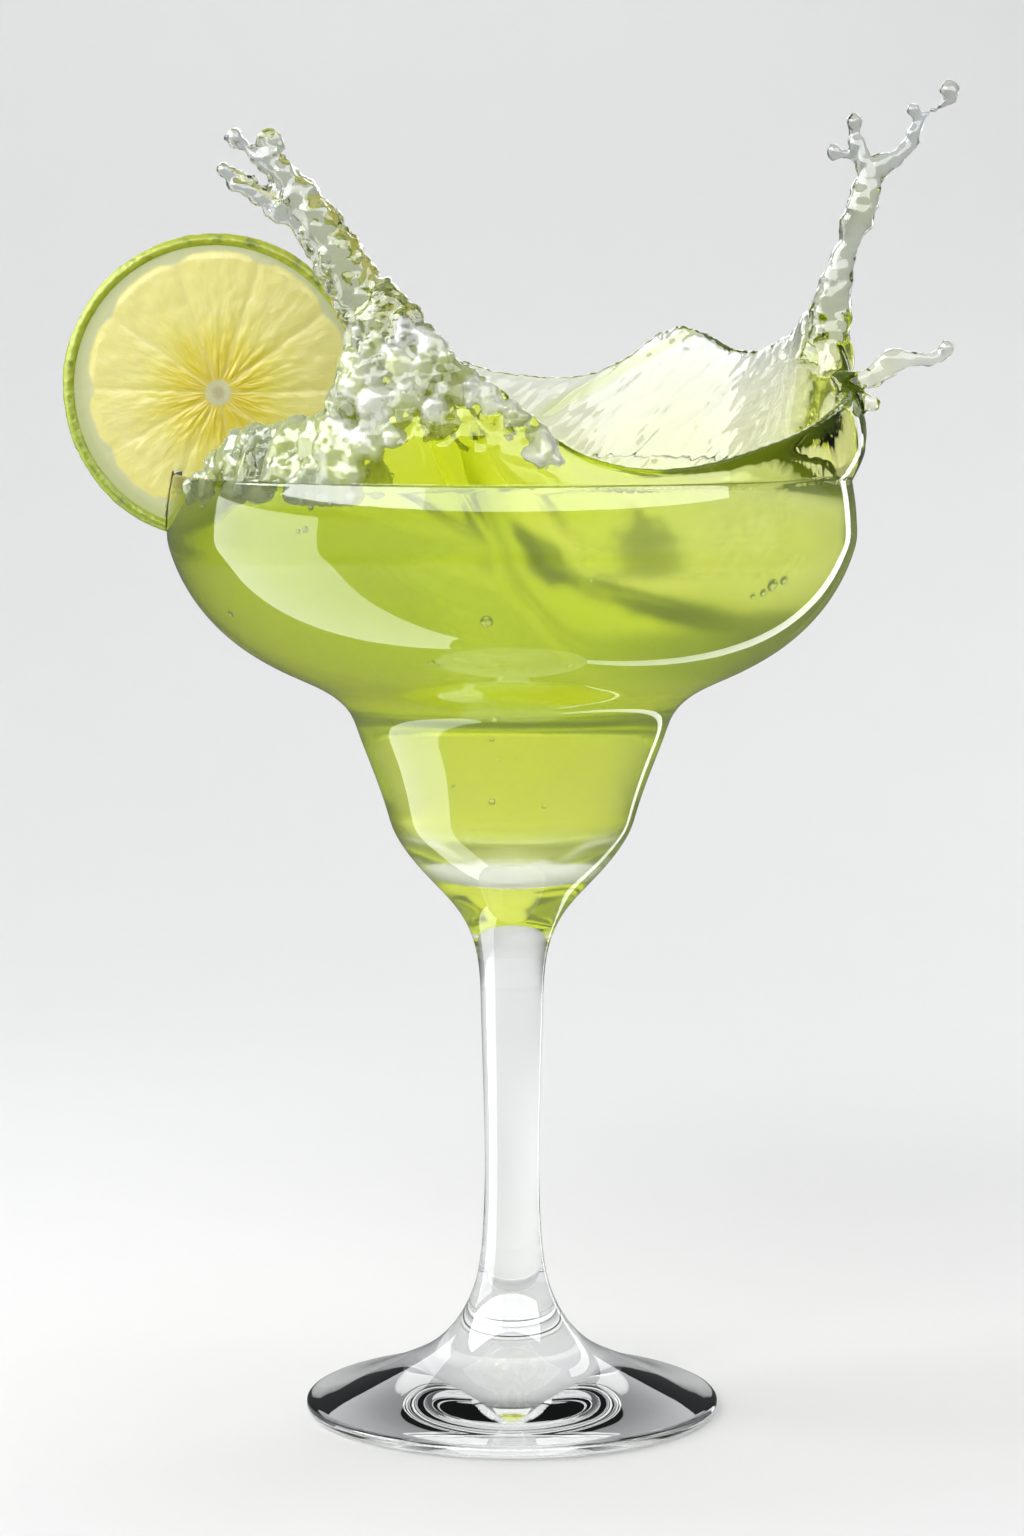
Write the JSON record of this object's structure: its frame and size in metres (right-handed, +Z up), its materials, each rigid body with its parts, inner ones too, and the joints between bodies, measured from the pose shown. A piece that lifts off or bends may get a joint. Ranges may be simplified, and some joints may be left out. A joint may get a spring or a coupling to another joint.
{
  "type": "margarita cocktail",
  "caption": "Stemmed cocktail glass with a wide bowl and a narrow cup, filled with a pale green drink that splashes over the rim, with a round citrus slice hung on the rim.",
  "frame": {"origin": "centre of the glass's foot, on the surface it stands on", "axes": "+Z up along the stem, -X towards the citrus slice, -Y towards the side that the slice's face looks at"},
  "size_m": [0.1533, 0.118, 0.23],
  "materials": {
    "glass": "clear, polished",
    "drink": "cloudy liquid, wet",
    "citrus": "juicy cut fruit with a green rind"
  },
  "bodies": {
    "root": {"glass": "glass", "drink": "drink", "citrus_slice": "citrus"}
  },
  "joints": []
}
